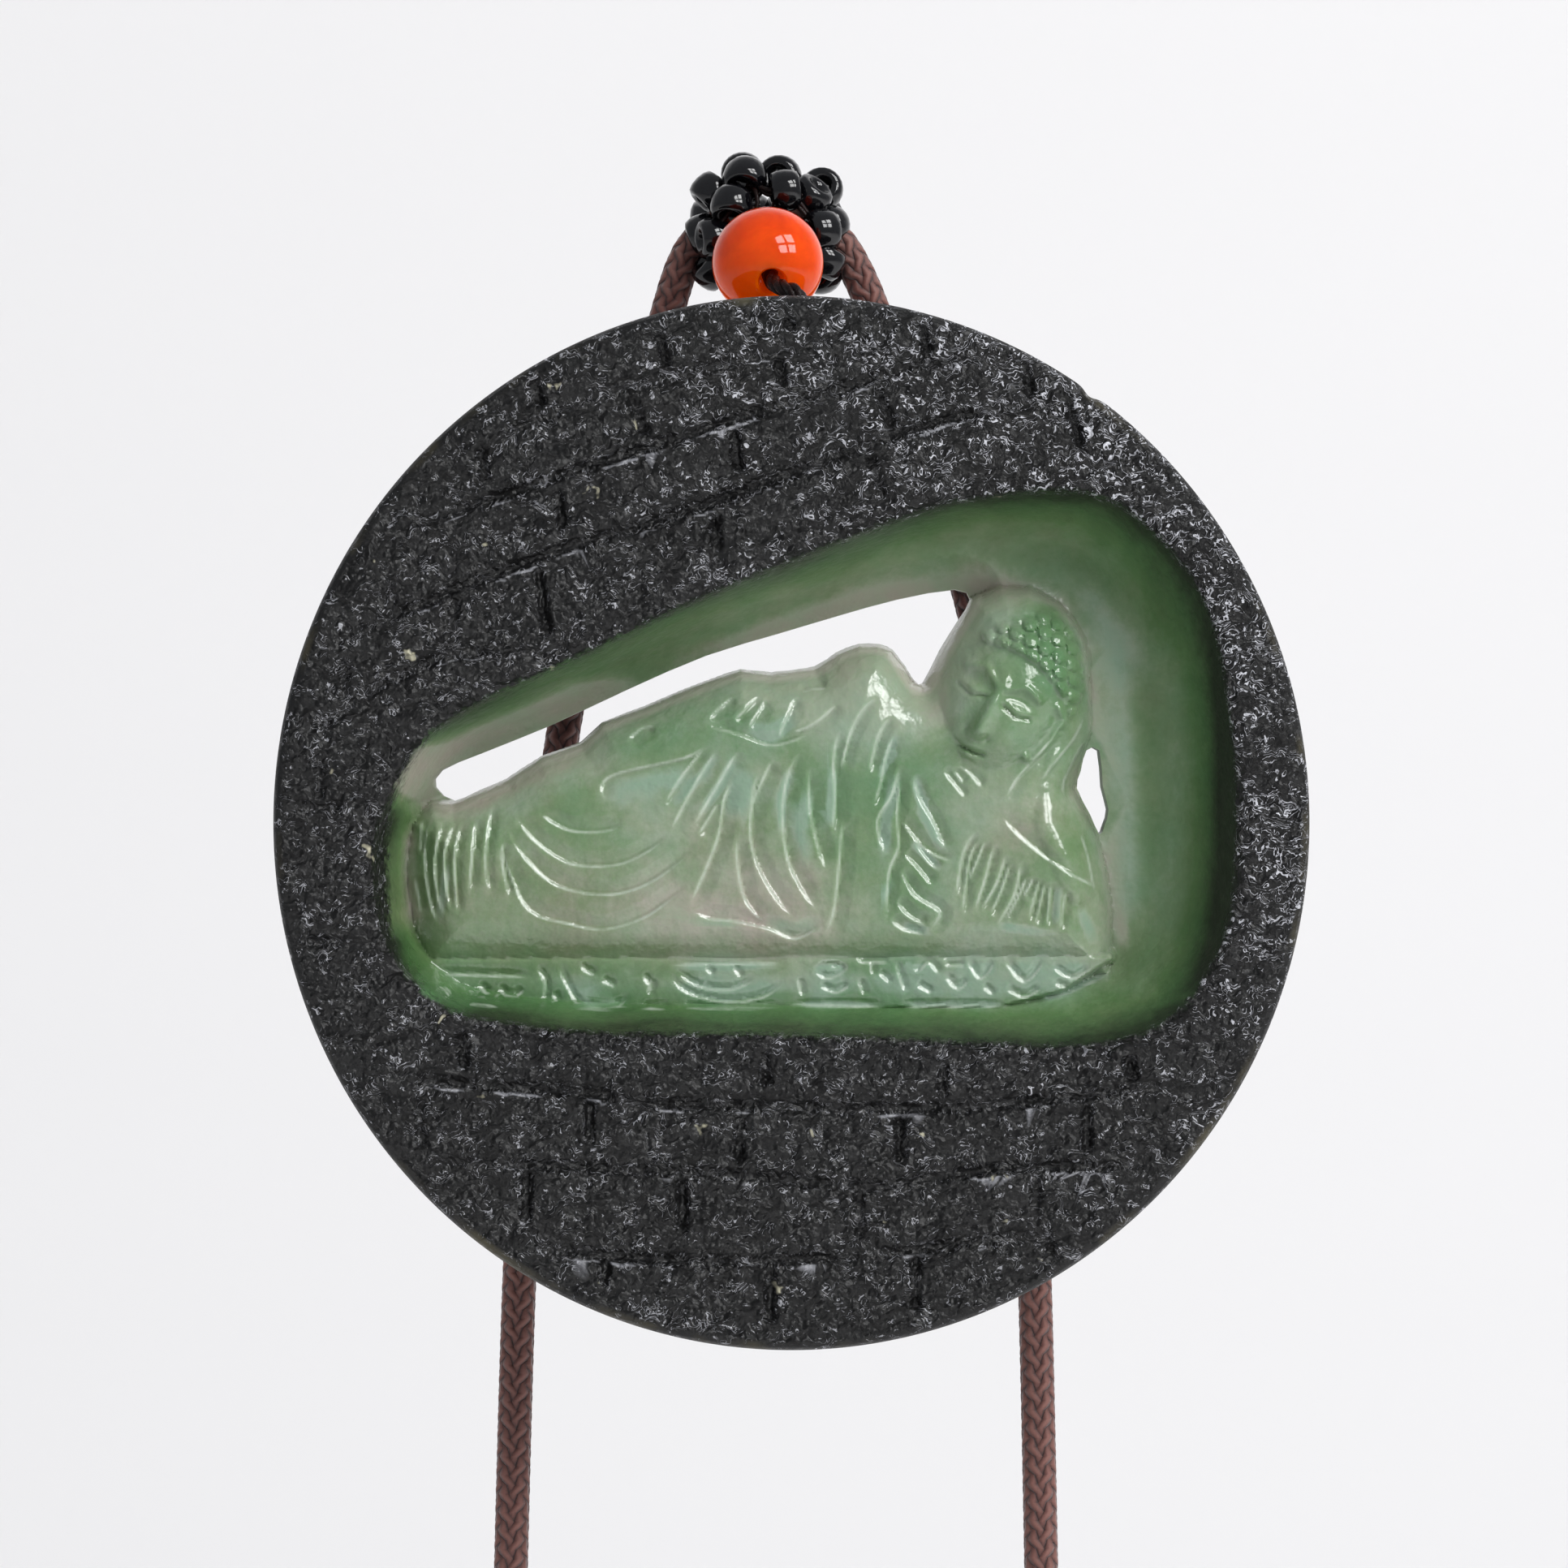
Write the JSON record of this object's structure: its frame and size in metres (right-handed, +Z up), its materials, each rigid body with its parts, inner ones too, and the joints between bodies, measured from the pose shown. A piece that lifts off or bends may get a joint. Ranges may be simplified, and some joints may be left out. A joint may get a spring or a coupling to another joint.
{
  "type": "carved jade disc pendant",
  "caption": "Round black-skinned jade pendant with a pierced green window holding a reclining figure, on a bead, a seed-bead loop and a neck cord.",
  "frame": {"origin": "middle of the seed-bead loop's eye, where the neck cord passes through", "axes": "+Z up from the disc to the loop, -Y the way the carved face looks, +X to the right as one faces it"},
  "size_m": [0.056, 0.0207, 0.2115],
  "materials": {
    "jade": "frosted black skin over polished translucent green",
    "carnelian": "polished translucent orange-red",
    "seed_beads": "glossy opaque black",
    "thread": "twisted dark brown thread",
    "cord": "braided brown cord",
    "clasp_metal": "plain satin steel"
  },
  "bodies": {
    "root": {"jade_disc": "jade", "carnelian_bead": "carnelian", "bead_loop": "seed_beads", "tie_thread": "thread", "neck_cord": "cord", "clasp": "clasp_metal"}
  },
  "joints": []
}
